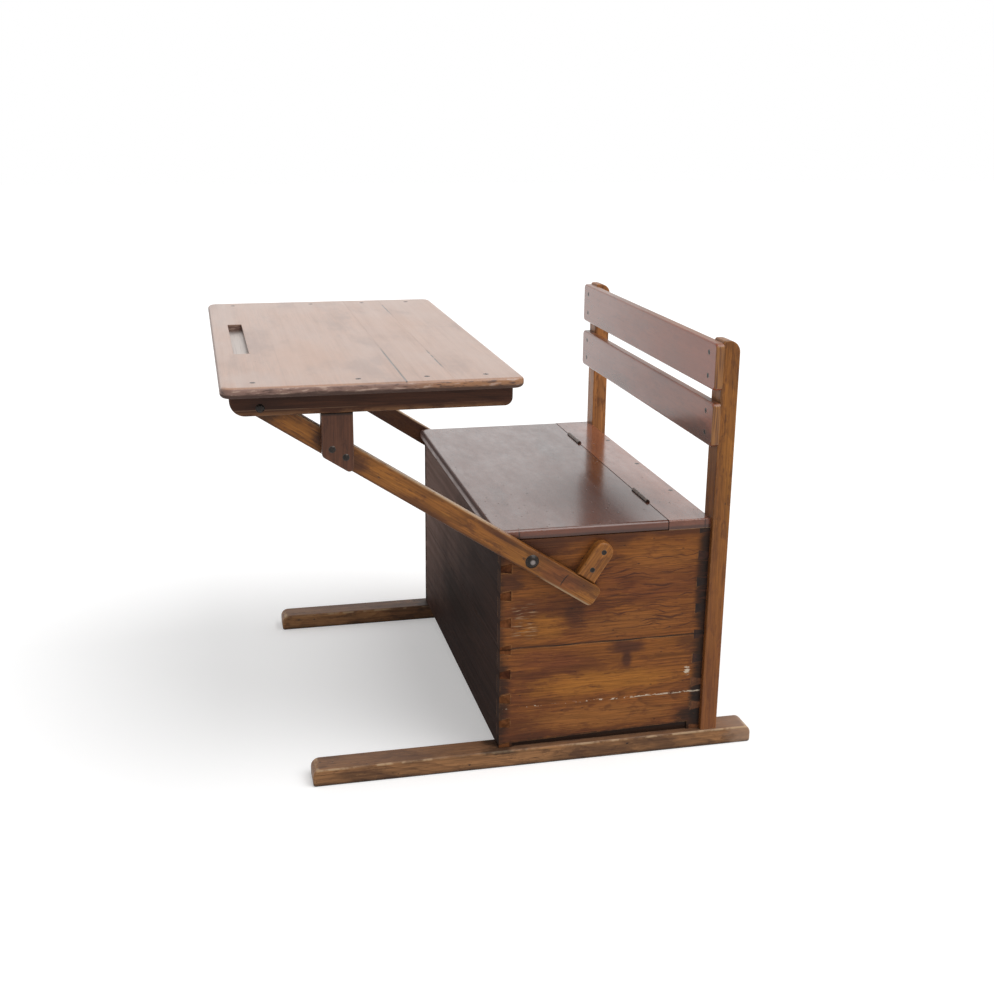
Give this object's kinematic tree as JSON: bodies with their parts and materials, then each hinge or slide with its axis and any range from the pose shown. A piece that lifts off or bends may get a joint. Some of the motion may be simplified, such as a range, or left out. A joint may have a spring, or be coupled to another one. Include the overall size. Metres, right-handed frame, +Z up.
{
  "type": "school bench desk",
  "caption": "Wooden school bench desk: a dovetailed box seat with a hinged lid and slatted back on runners, and swing arms that carry a tilting desktop.",
  "frame": {"origin": "on the floor, under the middle of the part's overall box", "axes": "+Z up; +Y from the desktop's front edge towards the backrest; +X towards the sitter's left"},
  "size_m": [0.797, 0.853, 0.6905],
  "materials": {
    "desktop_wood": "worn semi-gloss varnish",
    "dark_wood": "dark stained, satin",
    "seat_wood": "polished by use, glossy",
    "slat_wood": "semi-gloss varnish",
    "pine": "amber varnish, worn",
    "runner_wood": "worn, waxed",
    "inner_wood": "bare, aged",
    "iron": "blackened"
  },
  "bodies": {
    "bench": {"runner_left": "runner_wood", "runner_right": "runner_wood", "back_post_left": "pine", "back_post_right": "pine", "back_slat_upper": "slat_wood", "back_slat_lower": "slat_wood", "box_side_left_lower": "pine", "box_side_left_upper": "pine", "box_side_right_lower": "pine", "box_side_right_upper": "pine", "box_front_lower": "dark_wood", "box_front_upper": "dark_wood", "box_back_lower": "dark_wood", "box_back_upper": "dark_wood", "box_floor": "inner_wood", "seat_rear_strip": "seat_wood", "stop_block_left": "pine", "stop_block_right": "pine", "hinge_strip_leaf_left": "iron", "hinge_strip_leaf_right": "iron", "hinge_pin_left": "iron", "hinge_pin_right": "iron", "slat_screws": "iron", "post_screws": "iron", "runner_screws": "iron", "strip_screws": "iron", "stop_block_screws": "iron", "hinge_strip_screws": "iron"},
    "arm_frame": {"arm_left": "pine", "arm_right": "pine", "arm_bracket_left": "dark_wood", "arm_bracket_right": "dark_wood", "bracket_bolts": "iron", "bracket_nuts": "iron", "pivot_bolt_left": "iron", "pivot_bolt_right": "iron", "pivot_spacers": "iron", "pivot_washers": "iron", "pivot_nuts": "iron"},
    "desktop": {"desktop_board_front": "desktop_wood", "desktop_board_middle": "desktop_wood", "desktop_board_rear": "desktop_wood", "desktop_rail_left": "dark_wood", "desktop_rail_right": "dark_wood", "tilt_bolt_left": "iron", "tilt_bolt_right": "iron", "tilt_spacers": "iron", "tilt_washers": "iron", "tilt_nuts": "iron", "desktop_screws": "iron"},
    "lid": {"seat_lid": "seat_wood", "lid_batten_left": "inner_wood", "lid_batten_right": "inner_wood", "lid_batten_screws": "iron", "hinge_lid_leaf_left": "iron", "hinge_lid_leaf_right": "iron", "hinge_lid_screws": "iron"}
  },
  "joints": [
    {"name": "arm_swing", "type": "hinge", "parent": "bench", "child": "arm_frame", "pos_m": [0, 0.0343, 0.357], "axis": [-1, 0, 0], "range_deg": [0, 84]},
    {"name": "desk_tilt", "type": "hinge", "parent": "arm_frame", "child": "desktop", "pos_m": [0, -0.3715, 0.623], "axis": [1, 0, 0], "range_deg": [0, 100]},
    {"name": "lid_lift", "type": "hinge", "parent": "bench", "child": "lid", "pos_m": [0, 0.2648, 0.403], "axis": [-1, 0, 0], "range_deg": [0, 92]}
  ]
}
